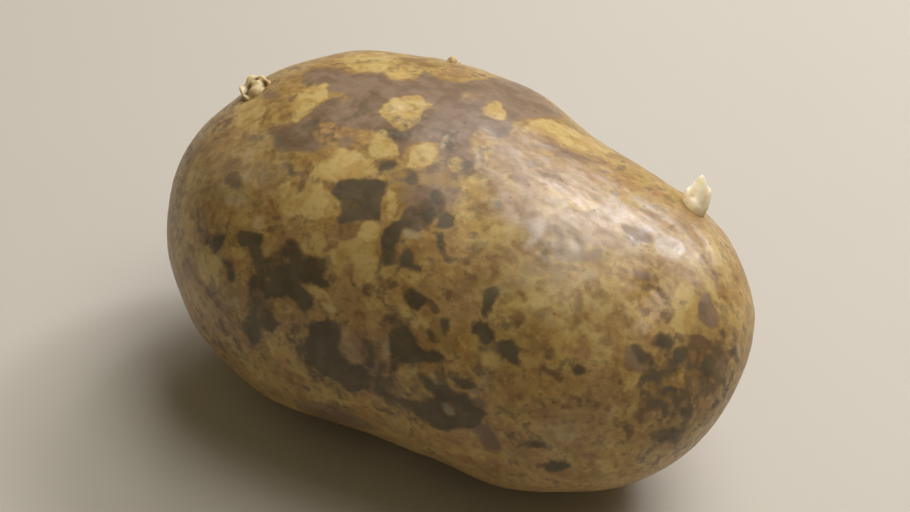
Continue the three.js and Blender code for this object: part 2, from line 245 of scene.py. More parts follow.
PATCHES["brown"] = [
    [0.7, 336,226, 345,223, 356,222, 363,222, 360,232, 352,238, 342,239, 336,233],
    [0.8, 322,182, 331,180, 335,186, 333,193, 326,190],
    [0.6, 326,240, 333,239, 334,247, 328,249],
    [0.7, 346,271, 352,269, 354,277, 355,285, 351,288, 347,281],
    [0.7, 361,287, 370,286, 371,294, 368,299, 361,296],
    [0.5, 380,279, 390,277, 396,281, 394,290, 384,291],
    [0.6, 420,280, 427,278, 430,285, 428,291, 421,289],
    [0.8, 430,258, 434,259, 437,267, 433,269, 430,264],
    [0.8, 472,243, 479,240, 487,243, 486,250, 478,253, 472,250],
    [0.5, 457,262, 468,259, 478,264, 482,274, 479,286, 468,289, 458,282, 455,272],
    [0.9, 444,291, 452,290, 464,292, 463,298, 456,301, 448,300],
    [0.5, 462,304, 472,304, 476,309, 468,312, 461,309],
    [0.8, 426,165, 434,164, 437,170, 431,175, 426,172],
    [0.7, 243,135, 250,136, 258,135, 263,137, 260,141, 250,142, 244,139],
    [0.6, 275,98, 283,97, 288,100, 284,105, 276,105],
    [0.5, 283,112, 290,110, 289,117, 284,123, 279,127, 279,120],
    [0.5, 264,127, 272,124, 279,126, 277,134, 268,135],
    [0.8, 212,139, 220,133, 229,129, 235,127, 231,133, 226,139, 219,142],
    [0.4, 207,127, 214,117, 224,115, 233,118, 232,126, 222,130, 211,132],
    [0.6, 222,166, 228,159, 236,157, 243,160, 242,169, 234,172, 226,173],
    [0.7, 208,180, 214,179, 217,184, 215,189, 209,188],
    [0.3, 201,188, 212,188, 224,190, 236,192, 246,190, 246,200, 238,206, 224,204, 210,204, 202,198],
    [0.35, 251,164, 262,162, 276,163, 286,166, 286,180, 278,188, 268,192, 258,188, 251,178],
    [0.9, 297,184, 303,182, 304,187, 300,193, 296,193],
    [0.6, 303,163, 309,162, 312,168, 308,174, 303,173],
    [0.6, 186,146, 191,144, 194,152, 192,162, 188,168, 184,160],
    [0.8, 264,230, 270,226, 280,224, 286,225, 283,229, 274,233, 267,233],
    [0.4, 262,196, 272,200, 280,212, 284,220, 276,222, 266,214, 258,210, 256,200],
    [0.7, 206,287, 213,286, 219,291, 216,299, 209,297],
    [0.4, 279,314, 292,313, 303,318, 306,330, 300,342, 290,346, 286,335, 280,328],
    [0.6, 258,339, 265,338, 268,350, 270,360, 262,360, 257,350],
    [0.5, 244,336, 251,337, 251,347, 245,348],
    [0.6, 284,358, 290,357, 291,363, 286,364],
    [0.8, 296,381, 302,382, 308,388, 303,390, 298,387],
    [0.5, 315,379, 321,380, 322,387, 317,387],
    [0.5, 263,388, 276,388, 288,394, 284,399, 272,396],
    [0.5, 359,390, 366,391, 370,397, 363,397],
    [0.7, 368,376, 380,376, 392,380, 400,388, 400,397, 390,396, 378,389, 369,386],
    [0.9, 543,330, 549,328, 555,331, 553,337, 546,337],
    [0.8, 543,348, 552,346, 557,352, 555,360, 546,360],
    [0.5, 552,371, 562,374, 571,379, 566,383, 555,380],
    [0.4, 519,350, 530,350, 537,353, 534,357, 522,356],
    [0.5, 500,370, 508,370, 510,378, 503,381],
    [0.6, 469,353, 476,352, 478,358, 472,361],
    [0.5, 441,341, 452,340, 460,344, 460,352, 449,354, 441,350],
    [0.9, 503,428, 511,430, 519,434, 526,440, 524,448, 516,450, 509,444, 505,436],
    [0.8, 533,463, 541,462, 546,466, 543,470, 536,468],
    [0.6, 513,473, 522,472, 528,475, 522,479, 514,478],
    [0.5, 451,452, 459,453, 463,457, 456,458],
    [0.5, 499,283, 512,280, 532,281, 533,289, 516,291, 501,290],
    [0.5, 480,260, 492,260, 501,263, 498,267, 484,266],
    [0.9, 499,247, 507,246, 513,250, 517,258, 510,263, 502,259],
    [1.0, 533,262, 537,257, 543,251, 547,242, 551,239, 551,248, 548,256, 541,261],
    [0.7, 523,262, 532,262, 541,262, 549,258, 553,266, 548,275, 536,277, 526,276, 521,269],
    [0.8, 549,266, 560,263, 573,264, 577,270, 566,275, 552,274],
    [0.5, 541,277, 556,277, 570,276, 567,286, 556,290, 543,286],
    [0.6, 520,216, 526,218, 531,224, 536,231, 531,232, 524,226],
    [0.6, 620,252, 627,251, 632,256, 628,260, 621,258],
    [1.0, 512,315, 518,312, 524,316, 524,323, 518,327, 512,324],
    [0.9, 576,294, 581,290, 583,298, 584,308, 580,313, 572,311, 568,306, 572,301],
    [0.5, 534,308, 545,306, 556,312, 557,325, 548,331, 538,326, 533,317],
    [0.5, 620,312, 627,313, 630,322, 629,332, 622,330],
    [0.6, 641,307, 648,305, 652,311, 648,317, 642,315],
    [0.9, 658,312, 665,311, 673,313, 672,319, 666,323, 659,320],
    [0.8, 656,288, 662,289, 667,296, 670,305, 664,306, 660,298],
    [0.8, 651,274, 657,274, 660,280, 655,284, 651,280],
    [0.6, 631,281, 640,283, 650,288, 648,293, 639,290, 632,287],
    [0.7, 647,211, 654,212, 661,216, 664,221, 658,224, 651,221],
    [0.5, 607,367, 616,366, 621,372, 619,381, 610,379],
    [0.8, 616,378, 623,379, 625,386, 621,393, 616,391],
    [0.4, 601,333, 612,332, 620,337, 618,346, 608,347, 600,341],
    [0.6, 647,382, 656,382, 661,388, 657,394, 649,393],
    [0.7, 668,377, 675,377, 677,383, 671,385],
    [0.9, 688,337, 696,333, 705,338, 711,346, 712,358, 704,364, 696,363, 689,356, 686,347],
    [0.7, 685,364, 694,364, 700,370, 699,380, 702,390, 696,398, 688,394, 684,384],
    [0.8, 708,348, 718,347, 726,351, 724,361, 715,362, 709,358],
    [0.6, 709,376, 717,374, 718,386, 713,396, 708,392],
    [0.6, 639,394, 650,393, 658,398, 658,410, 652,420, 643,420, 637,408],
    [0.6, 635,417, 644,415, 648,421, 640,426],
    [0.35, 551,400, 565,397, 580,398, 595,398, 602,403, 597,410, 580,410, 562,408, 551,406],
    [0.2, 573,414, 586,413, 598,416, 596,424, 582,425, 574,421],
    [0.4, 530,402, 541,399, 550,404, 550,416, 542,422, 532,417],
    [0.6, 538,170, 548,169, 560,174, 567,181, 560,184, 548,180, 540,176],
    [0.6, 517,191, 525,189, 532,193, 530,198, 521,199],
    [0.7, 536,138, 548,140, 562,146, 575,152, 592,158, 606,160, 612,163, 604,166, 592,166, 578,164, 566,160,
     556,156, 546,148],
    [0.9, 427,297, 434,302, 439,311, 434,315, 428,309, 424,304],
]
PATCHES["mauve"] = [
    [0.9, 303,75, 314,68, 328,68, 344,70, 350,75, 364,74, 380,71, 386,77, 398,81, 416,80, 424,71, 440,79,
     462,83, 480,80, 500,79, 520,82, 536,92, 550,103, 564,116, 556,119, 540,117, 526,119, 512,122, 510,134,
     500,140, 488,134, 478,128, 470,138, 470,150, 474,162, 472,175, 462,176, 460,168, 461,156, 448,157,
     440,154, 438,148, 442,142, 428,141, 412,144, 404,150, 400,160, 396,150, 390,138, 384,130, 374,130,
     356,130, 345,126, 330,122, 318,124, 312,130, 314,140, 322,148, 312,152, 296,151, 282,153, 274,148,
     277,138, 272,134, 284,126, 294,122, 304,117, 314,108, 328,101, 345,101, 352,98, 345,92, 330,90, 322,86,
     308,86, 302,82],
    [0.5, 400,188, 410,186, 425,184, 436,190, 430,200, 414,202, 404,206, 399,198],
    [0.9, 404,211, 411,204, 421,201, 430,199, 430,192, 434,189, 441,192, 443,203, 442,212, 438,216, 432,221,
     428,230, 418,230, 408,228, 401,221],
    [0.6, 404,169, 413,169, 418,176, 417,184, 410,187, 405,180],
    [0.8, 622,348, 632,346, 640,352, 650,358, 657,366, 655,374, 642,373, 630,371, 622,366, 626,358],
    [1.0, 704,293, 709,294, 713,300, 716,308, 718,318, 717,326, 712,329, 705,325, 700,318, 699,308,
     701,299],
    [1.0, 482,424, 488,425, 494,434, 500,444, 500,450, 494,451, 486,450, 481,443, 476,433, 470,428],
    [0.8, 471,399, 480,397, 487,402, 487,409, 478,410, 472,406],
    [0.7, 290,398, 305,400, 322,403, 338,408, 352,413, 366,420, 376,427, 362,429, 345,425, 328,421, 312,414,
     298,407],
    [0.6, 554,226, 562,224, 568,232, 568,246, 570,252, 600,251, 602,260, 588,262, 570,261, 556,260, 552,250,
     556,240],
    [0.5, 570,231, 577,232, 584,240, 586,248, 578,248, 571,240],
    [0.8, 633,271, 643,270, 651,273, 650,281, 641,280, 634,277],
    [0.9, 621,224, 630,227, 640,226, 650,231, 652,243, 640,241, 630,237, 623,230],
    [0.5, 712,361, 722,360, 731,364, 730,375, 720,379, 712,374],
    [0.5, 365,361, 378,362, 388,360, 388,372, 378,375, 367,371],
    [0.6, 282,248, 292,240, 298,248, 304,257, 296,262, 284,262],
    [0.7, 340,138, 348,136, 354,140, 352,146, 342,146],
    [0.5, 264,92, 272,90, 282,93, 280,99, 270,101, 264,98],
    [0.5, 380,316, 392,318, 404,322, 402,330, 390,330, 381,326],
    [0.6, 691,280, 697,281, 697,287, 692,287],
    [0.5, 536,138, 548,140, 562,146, 575,152, 576,158, 560,158, 546,148],
]
PATCHES["yellow"] = [
    [0.8, 540,192, 552,187, 570,191, 590,197, 600,205, 590,213, 572,208, 557,211, 545,217, 535,209],
    [0.8, 504,172, 516,178, 528,190, 524,202, 512,198, 502,186],
    [0.6, 538,322, 550,316, 566,320, 582,326, 596,324, 600,336, 590,348, 574,350, 556,344, 540,336],
    [1.0, 328,83, 314,84, 306,90, 298,96, 292,104, 283,110, 274,113, 268,120, 273,122, 281,116, 290,114,
     291,121, 296,124, 302,118, 310,113, 316,104, 328,99],
    [0.8, 233,106, 240,101, 252,99, 262,98, 266,104, 266,118, 262,128, 256,133, 246,133, 238,128, 234,118],
    [0.7, 196,156, 203,160, 200,172, 196,186, 192,198, 190,212, 195,224, 195,240, 196,250, 190,250, 184,238,
     181,226, 181,204, 184,190, 189,172],
    [1.0, 280,183, 290,181, 294,188, 300,194, 306,185, 312,174, 319,172, 322,180, 324,190, 329,198, 326,206,
     324,214, 318,222, 309,219, 300,214, 288,217, 280,208, 278,196],
    [1.0, 322,160, 332,157, 334,150, 345,148, 357,149, 362,156, 368,163, 369,172, 364,178, 352,179, 340,179,
     330,180, 324,178, 314,180, 310,176, 316,167],
    [1.0, 381,129, 387,131, 390,138, 398,146, 400,155, 392,158, 380,157, 371,156, 367,148, 372,140],
    [1.0, 376,112, 380,108, 386,101, 393,97, 409,95, 421,94, 425,101, 423,108, 421,115, 419,121, 411,128,
     403,131, 394,127, 389,121, 381,117],
    [0.6, 423,101, 436,102, 438,107, 424,109],
    [1.0, 410,151, 413,145, 421,142, 429,142, 437,146, 441,147, 439,152, 434,158, 431,164, 423,167, 411,168,
     403,167, 409,162],
    [0.9, 344,54, 360,52, 378,53, 392,56, 391,63, 386,70, 376,73, 366,71, 356,72, 347,66, 343,60],
    [0.6, 386,72, 398,71, 411,72, 411,79, 398,80, 387,79],
    [1.0, 480,108, 488,103, 496,102, 503,105, 506,112, 504,119, 498,121, 491,117, 482,113],
    [0.8, 449,160, 457,157, 464,161, 462,169, 453,172, 448,167],
    [0.8, 461,182, 470,176, 480,174, 488,180, 490,190, 484,198, 474,196, 463,192],
    [0.9, 524,126, 530,121, 545,118, 560,121, 575,129, 590,138, 603,146, 612,152, 605,157, 592,156, 578,150,
     562,142, 548,137, 535,134, 526,131],
    [0.9, 388,189, 395,190, 397,198, 400,206, 397,214, 393,220, 388,219, 385,212, 386,200],
    [1.0, 362,222, 372,221, 379,224, 378,236, 377,250, 378,260, 375,270, 370,281, 360,284, 352,281, 354,270,
     352,259, 345,252, 338,243, 348,239, 358,234],
    [0.7, 329,248, 338,246, 346,254, 346,266, 338,276, 330,270, 328,258],
    [0.8, 298,236, 306,231, 317,231, 325,237, 327,247, 322,254, 313,256, 305,252, 299,244],
    [0.6, 456,214, 468,212, 480,218, 482,232, 472,242, 458,240, 455,228],
    [0.9, 397,303, 404,302, 410,308, 412,316, 404,319, 397,312],
    [1.0, 410,326, 413,319, 420,318, 427,321, 430,327, 424,331, 415,330],
    [0.6, 401,272, 412,271, 421,276, 420,286, 410,288, 402,283],
    [1.0, 299,285, 306,282, 314,284, 322,288, 328,294, 331,301, 335,308, 336,312, 331,313, 325,309, 320,303,
     314,296, 307,291],
    [1.0, 263,331, 273,330, 284,332, 287,341, 290,351, 288,358, 281,360, 271,359, 268,350, 266,341],
    [0.7, 274,302, 284,300, 294,303, 295,312, 286,316, 275,314],
    [0.8, 193,252, 204,254, 214,254, 221,258, 221,268, 219,280, 217,292, 210,290, 202,280, 197,268],
    [0.7, 230,243, 237,244, 245,249, 247,254, 243,260, 236,262, 231,256],
    [1.0, 680,362, 685,361, 687,366, 684,374, 683,380, 679,384, 676,380, 678,372],
    [1.0, 633,372, 638,373, 638,380, 635,388, 629,391, 622,393, 614,399, 608,399, 615,394, 623,388,
     628,380],
    [0.9, 678,282, 686,280, 694,286, 697,296, 696,310, 694,324, 690,335, 680,334, 670,327, 674,312, 672,302,
     675,290],
    [0.5, 588,346, 600,345, 613,349, 614,361, 603,364, 590,360],
    [0.7, 507,300, 524,299, 540,300, 541,306, 524,309, 508,307],
    [0.6, 493,387, 503,385, 509,390, 508,399, 497,400],
    [0.6, 480,352, 492,350, 500,356, 500,367, 490,371, 481,364],
    [0.7, 396,367, 406,363, 418,366, 418,377, 408,383, 398,380],
    [0.6, 286,364, 300,365, 312,370, 316,378, 306,382, 292,378],
    [0.5, 363,320, 378,318, 380,330, 368,333],
    [0.6, 468,455, 482,455, 491,460, 486,466, 472,464],
    [0.5, 599,276, 614,274, 630,280, 628,290, 612,293, 600,290],
    [0.5, 612,400, 626,394, 637,396, 636,410, 628,418, 614,416, 608,408],
    [0.5, 240,362, 252,360, 264,370, 266,380, 254,382, 244,374],
    [0.5, 360,298, 370,297, 381,302, 380,313, 368,314, 361,308],
    [0.5, 590,455, 610,450, 632,456, 630,470, 612,476, 594,470],
]
PATCHES["pale"] = [
    [0.8, 321,302, 328,304, 336,310, 332,314, 325,310],
    [0.7, 386,334, 390,338, 390,350, 389,360, 383,360, 380,354, 382,345],
    [0.7, 440,402, 448,402, 455,408, 456,415, 450,417, 443,412],
    [0.8, 579,277, 586,270, 596,270, 599,275, 592,280, 582,281],
    [0.5, 264,246, 270,245, 273,252, 269,259, 264,255],
    [0.6, 226,196, 236,192, 245,198, 242,206, 230,207, 225,202],
    [0.6, 479,198, 485,197, 488,203, 483,207, 479,204],
    [0.5, 341,330, 350,326, 356,334, 358,346, 364,358, 357,364, 348,361, 342,350, 340,340],
    [0.5, 349,152, 357,151, 362,158, 359,164, 351,160],
    [0.5, 250,217, 260,214, 266,220, 261,230, 253,232],
    [0.7, 401,229, 410,229, 420,233, 419,240, 410,240, 402,236],
    [0.5, 466,294, 474,293, 477,299, 470,303, 465,299],
    [0.5, 226,298, 232,294, 240,298, 238,307, 229,308],
    [0.5, 630,322, 642,318, 651,326, 649,337, 638,339, 630,332],
    [0.5, 546,424, 562,421, 580,425, 583,436, 570,443, 552,440],
    [0.5, 467,389, 476,388, 481,393, 475,399, 468,396],
]
# Painted highlight: outlines where the sheen's brightest streaks are painted pale.
PATCHES["painted_highlight"] = [
    [0.6, 654,239, 668,236, 680,242, 686,250, 678,258, 668,259, 657,253],
    [0.5, 608,195, 615,192, 622,200, 630,208, 640,218, 650,226, 662,230, 672,236, 682,243, 685,250, 678,257,
     668,258, 658,252, 656,243, 648,236, 636,228, 626,225, 616,226, 609,218, 604,208],
    [0.4, 592,206, 604,200, 612,210, 618,226, 622,234, 634,246, 650,252, 644,258, 620,257, 602,250, 590,240,
     584,228],
    [0.6, 528,220, 540,215, 547,224, 542,238, 534,248, 526,254, 521,248, 530,236],
    [0.5, 568,236, 574,237, 580,246, 578,253, 571,252],
]
STROKES["dark"] = [
    [0.5, 4, 200,209, 199,220, 199,230], [0.6, 7, 366,384, 378,390, 390,397, 402,402],
    [0.5, 4, 443,252, 447,261], [0.5, 5, 430,331, 434,339], [0.5, 5, 497,406, 505,410, 514,416],
    [0.6, 5, 734,352, 738,360], [0.5, 6, 721,333, 722,342], [0.4, 8, 601,421, 603,423],
    [0.3, 5, 530,226, 536,233],
]
STROKES["brown"] = [
    [0.6, 5, 201,207, 210,208], [0.6, 4, 174,216, 176,228], [0.7, 6, 217,302, 226,314, 234,327],
    [0.7, 5, 187,260, 193,273, 200,284, 210,294], [0.6, 8, 206,327, 214,338, 224,350, 235,363],
    [0.8, 6, 543,368, 551,374], [0.5, 5, 592,168, 604,172, 618,179], [0.5, 5, 664,216, 676,223, 690,233],
    [0.6, 4, 683,214, 688,230, 696,245, 704,258, 712,276, 719,286],
    [0.5, 5, 711,262, 720,280, 727,296, 732,312], [0.4, 4, 366,409, 375,411], [0.4, 6, 592,434, 594,436],
    [0.5, 5, 358,64, 366,68], [0.5, 4, 402,109, 412,108], [0.8, 6, 430,331, 434,339],
]
STROKES["mauve"] = [
    [0.4, 5, 250,275, 250,292],
]
STROKES["yellow"] = [
    [0.8, 8, 706,232, 712,246, 719,258, 726,272], [0.6, 7, 700,270, 708,284, 714,296, 719,308],
    [0.6, 5, 238,306, 242,320], [0.4, 9, 466,97, 474,100],
]
STROKES["pale"] = [
    [0.6, 5, 430,372, 436,383], [0.9, 5, 442,147, 446,137], [0.5, 6, 563,300, 568,291, 577,284],
    [0.9, 4, 739,345, 740,354], [0.6, 3, 478,129, 490,131], [0.6, 6, 189,281, 196,296, 205,312],
    [0.5, 6, 249,150, 245,165, 244,178], [0.4, 8, 712,420, 700,432, 690,444],
    [0.9, 3, 484,376, 487,392, 491,409, 497,425, 505,440, 516,452], [0.5, 4, 248,249, 248,254],
]
# Painted highlight: lines of painted sheen streaks.
STROKES["painted_highlight"] = [
    [0.3, 6, 540,157, 552,166, 562,174, 573,180], [0.5, 5, 592,175, 604,180, 616,186],
    [0.6, 4, 624,189, 634,196, 646,204, 654,211], [0.4, 4, 590,163, 602,168, 613,172],
    [0.5, 5, 480,127, 491,133], [0.5, 6, 474,148, 480,164],
    [0.3, 9, 489,166, 495,182, 508,198, 511,213, 523,221], [0.4, 5, 518,184, 524,193],
    [0.4, 6, 555,255, 566,263], [0.5, 6, 560,216, 574,222, 584,232, 591,245],
    [0.4, 5, 510,148, 522,164, 530,178], [0.5, 5, 532,140, 545,146, 556,150], [0.3, 8, 664,262, 680,260],
]
STROKES["dull"] = [
    [0.9, 9, 624,227, 638,233, 652,240], [0.8, 6, 648,212, 660,220, 674,230],
    [0.7, 6, 538,170, 552,177, 566,183], [0.7, 7, 556,226, 562,240, 562,252], [0.6, 6, 574,234, 580,244],
    [0.7, 6, 560,150, 580,158, 604,164], [0.5, 6, 524,196, 536,204], [0.6, 5, 570,205, 590,218, 604,232],
    [0.6, 5, 520,216, 530,226, 537,234], [0.5, 6, 598,172, 616,180, 634,192],
]
ZONES["mauve"] = [
    [0.12, 270,190, 80,80], [0.3, 410,185, 70,60], [0.3, 520,155, 70,50], [0.25, 340,85, 110,60],
    [0.35, 445,185, 44,110], [0.25, 340,150, 70,50],
]
ZONES["brown"] = [
    [0.05, 235,150, 80,70], [0.08, 240,200, 110,90], [0.12, 300,180, 90,70], [0.35, 330,132, 60,40],
    [0.4, 448,180, 36,60], [0.3, 430,125, 80,40], [0.35, 250,310, 110,100], [0.25, 340,330, 120,110],
    [0.12, 430,270, 120,90], [0.1, 500,310, 130,120], [0.25, 470,380, 140,90], [0.25, 575,400, 120,80],
    [0.5, 680,385, 120,120], [0.45, 722,355, 60,90], [0.25, 640,430, 90,50],
]
ZONES["dark"] = [
    [0.2, 225,250, 60,60], [0.25, 290,275, 90,80], [0.32, 340,350, 120,80], [0.25, 430,400, 110,60],
    [0.2, 405,240, 70,70], [0.2, 395,330, 60,70], [0.35, 690,385, 120,110], [0.2, 230,340, 110,110],
    [0.2, 330,115, 80,50], [0.25, 415,132, 90,34], [0.15, 660,440, 110,60], [0.28, 365,372, 150,76],
    [0.22, 430,348, 80,56], [0.2, 285,325, 60,56],
]
ZONES["yellow"] = [
    [0.25, 240,180, 110,110], [0.35, 500,235, 70,90], [0.35, 530,285, 120,90], [0.3, 605,320, 120,120],
    [0.3, 490,215, 60,90], [0.25, 725,300, 50,100], [0.2, 580,440, 120,60], [0.2, 320,245, 60,50],
    [0.25, 512,240, 80,110], [0.22, 565,298, 150,60],
]
# Painted highlight: broad places where pale sheen is painted.
ZONES["painted_highlight"] = [
    [0.55, 516,206, 80,60], [0.2, 555,228, 80,60],
]
ZONES["pale"] = [
    [0.45, 540,262, 160,130], [0.42, 250,168, 140,130], [0.25, 575,320, 120,70],
]
# The painted sheen zone: where a haze of painted sheen, its streaks and the wrinkles under them lie.
ZONES["painted_sheen_zone"] = [
    [1.0, 510,160, 100,90], [1.0, 570,195, 110,90], [1.0, 640,225, 100,70], [0.8, 560,235, 90,60],
    [0.7, 705,260, 60,90],
]
CREASES = [
    [1.4, 0.10, 630,284, 645,286, 658,293, 666,305, 666,318],
    [1.1, 0.08, 632,300, 640,296, 650,300, 654,310, 648,318],
    [1.8, 0.14, 684,219, 698,236, 711,257, 719,280, 723,300],
    [0.8, 0.16, 402,108, 409,106, 416,109],
    [0.7, 0.10, 484,376, 487,392, 491,409, 497,425, 505,440, 516,452],
]

EDGE = 2.6               # over how many pixels on each side the edge of a patch fades
RIM_SHOWN, RIM_LOST = 0.02, -0.10    # how square to the camera the skin is where the marks start to fade
                                     # at its rim, and where they end


def pairs(numbers):
    return np.reshape(numbers, (-1, 2)).astype(float)


def place_finder(tree):
    """The function that gives the point of the skin under a pixel of the photograph."""
    def place(px, py):
        return tree.ray_cast(EYE, pixel_ray(px, py))[0]
    return place


def photographed(points, normals):
    """The pixel of the photograph in which each point lies, and how far the photograph shows it, 0 to 1."""
    offset = points - np.array(EYE)
    depth = -offset @ np.array(BACK)
    px = PHOTO_WIDE / 2 + FOCAL_PIXELS * (offset @ np.array(RIGHT)) / depth
    py = PHOTO_HIGH / 2 - FOCAL_PIXELS * (offset @ np.array(UP)) / depth
    facing = -np.einsum("ij,ij->i", offset, normals) / np.linalg.norm(offset, axis=1)
    return np.stack([px, py], axis=1), ease(facing, RIM_LOST, RIM_SHOWN)


def gap_to(seen, start, end):
    """How far each pixel is from the line between two pixels."""
    span = end - start
    t = np.clip(((seen - start) @ span) / max(span @ span, TINY), 0.0, 1.0)
    return np.linalg.norm(seen - start - t[:, None] * span, axis=1)


def patch_cover(seen, corners):
    """How far each pixel is inside an outline: 1 well inside, 0.5 on it and 0 well outside."""
    cover = np.zeros(len(seen))
    near = np.nonzero(np.all((seen > corners.min(0) - EDGE) & (seen < corners.max(0) + EDGE), axis=1))[0]
    spots = seen[near]
    gap = np.full(len(near), np.inf)
    inside = np.zeros(len(near), bool)
    for start, end in zip(corners, np.roll(corners, -1, axis=0)):
        gap = np.minimum(gap, gap_to(spots, start, end))
        crosses = (start[1] > spots[:, 1]) != (end[1] > spots[:, 1])
        rise = end[1] - start[1] if end[1] != start[1] else TINY
        crosses &= spots[:, 0] < start[0] + (spots[:, 1] - start[1]) * (end[0] - start[0]) / rise
        inside ^= crosses
    cover[near] = np.clip(0.5 + np.where(inside, gap, -gap) / (2 * EDGE), 0.0, 1.0)
    return cover


def stroke_cover(seen, width, line):
    """The same for a line of pixels of some width. A thin line is fainter."""
    gap = np.min([gap_to(seen, start, end) for start, end in zip(line, line[1:])], axis=0)
    return np.clip(0.5 + (width / 2 - gap) / (2 * EDGE), 0.0, 1.0) * min(1.0, 0.6 + width / (5 * EDGE))


def zone_cover(seen, middle, size):
    """The same for an oval zone, which fades slowly."""
    reach = np.linalg.norm((seen - middle) / (size / 2), axis=1)
    return 1.0 - ease(reach, 0.35, 1.15)


def seen_cover(name, seen, shown):
    """How strongly the photograph's marks of one kind cover each point of the skin."""
    clear = np.ones(len(seen))
    for level, *outline in PATCHES.get(name, []):
        clear *= 1.0 - level * patch_cover(seen, pairs(outline))
    for level, width, *line in STROKES.get(name, []):
        clear *= 1.0 - level * stroke_cover(seen, width, pairs(line))
    for level, *zone in ZONES.get(name, []):
        clear *= 1.0 - level * zone_cover(seen, *pairs(zone))
    return (1.0 - clear) * shown


def route_of(place, line, steps=8):
    """A smooth line on the skin through pixels of the photograph."""
    knots = [place(px, py) for px, py in line]
    knots = [knots[0]] + knots + [knots[-1]]
    route = []
    for before, start, end, after in zip(knots, knots[1:], knots[2:], knots[3:]):
        for step in range(steps):
            t = step / steps
            route.append(0.5 * (2 * start + (end - before) * t
                                + (2 * before - 5 * start + 4 * end - after) * t * t
                                + (3 * start - before - 3 * end + after) * t ** 3))
    return np.array(route + [knots[-1]])


def distance_to(points, route):
    """How far each point is from a route, and how far along the route that is, 0 to 1."""
    best = np.full(len(points), np.inf)
    where = np.zeros(len(points))
    for index, (start, end) in enumerate(zip(route, route[1:])):
        span = end - start
        t = np.clip(((points - start) @ span) / (span @ span), 0.0, 1.0)
        gap = np.linalg.norm(points - start - t[:, None] * span, axis=1)
        nearer = gap < best
        best[nearer] = gap[nearer]
        where[nearer] = ((index + t) / (len(route) - 1))[nearer]
    return best, where


WAVES = ((0.55, 3.2, 0), (0.35, 1.5, 20))     # of a strewn mark's edge: height, size in mm, and own seed
GROUP_MARKS = (3, 8)     # how few and how many marks lie in a group
GROUP_REACH = (0.5, 1.5)           # how wide a group is, in sizes of its largest mark
GROUP_SPREAD = 0.45                # how far from its middle its marks mostly lie, as a share of that
SLIMMEST = 0.40                    # the width of the slimmest mark, as a share of its length
OVAL_FULL, OVAL_GONE = 0.6, 1.3    # a mark is full inside one share of its radius and gone outside the other


def strewn_cover(points, normals, hidden, groups, smallest, largest, level, seed):
    """Marks of the same kind on the unseen sides, in loose groups of ovals with a wavy edge."""
    draw = random.Random(seed)
    clear = np.ones(len(points))
    wobble = sum(high * grain_noise(points, size * MM, seed + own) for high, size, own in WAVES)
    for _ in range(groups):
        index = hidden[draw.randrange(len(hidden))]
        normal = Vector(normals[index])
        side = normal.orthogonal().normalized()
        other = normal.cross(side)
        reach = draw.uniform(*GROUP_REACH) * largest * MM
        for _ in range(draw.randint(*GROUP_MARKS)):
            turn = draw.uniform(0, math.pi)
            along = side * math.cos(turn) + other * math.sin(turn)
            across = normal.cross(along)
            middle = points[index] + np.array(side) * draw.gauss(0, GROUP_SPREAD) * reach
            middle += np.array(other) * draw.gauss(0, GROUP_SPREAD) * reach
            wide = draw.uniform(smallest, largest) * MM / 2
            high = wide * draw.uniform(SLIMMEST, 1.0)
            offset = points - middle
            radius = np.sqrt((offset @ np.array(along) / wide) ** 2 + (offset @ np.array(across) / high) ** 2
                             + (offset @ np.array(normal) / (3 * wide)) ** 2)
            cover = 1.0 - ease(radius + wobble, OVAL_FULL, OVAL_GONE)
            clear *= 1.0 - level * draw.uniform(0.5, 1.0) * cover
    return 1.0 - clear


# Shader building.

def srgb(red, green, blue):
    """A colour as picked from a picture, 0 to 255, as the shader wants it."""
    def linear(value):
        value /= 255.0
        return value / 12.92 if value <= 0.04045 else ((value + 0.055) / 1.055) ** 2.4
    return (linear(red), linear(green), linear(blue), 1.0)


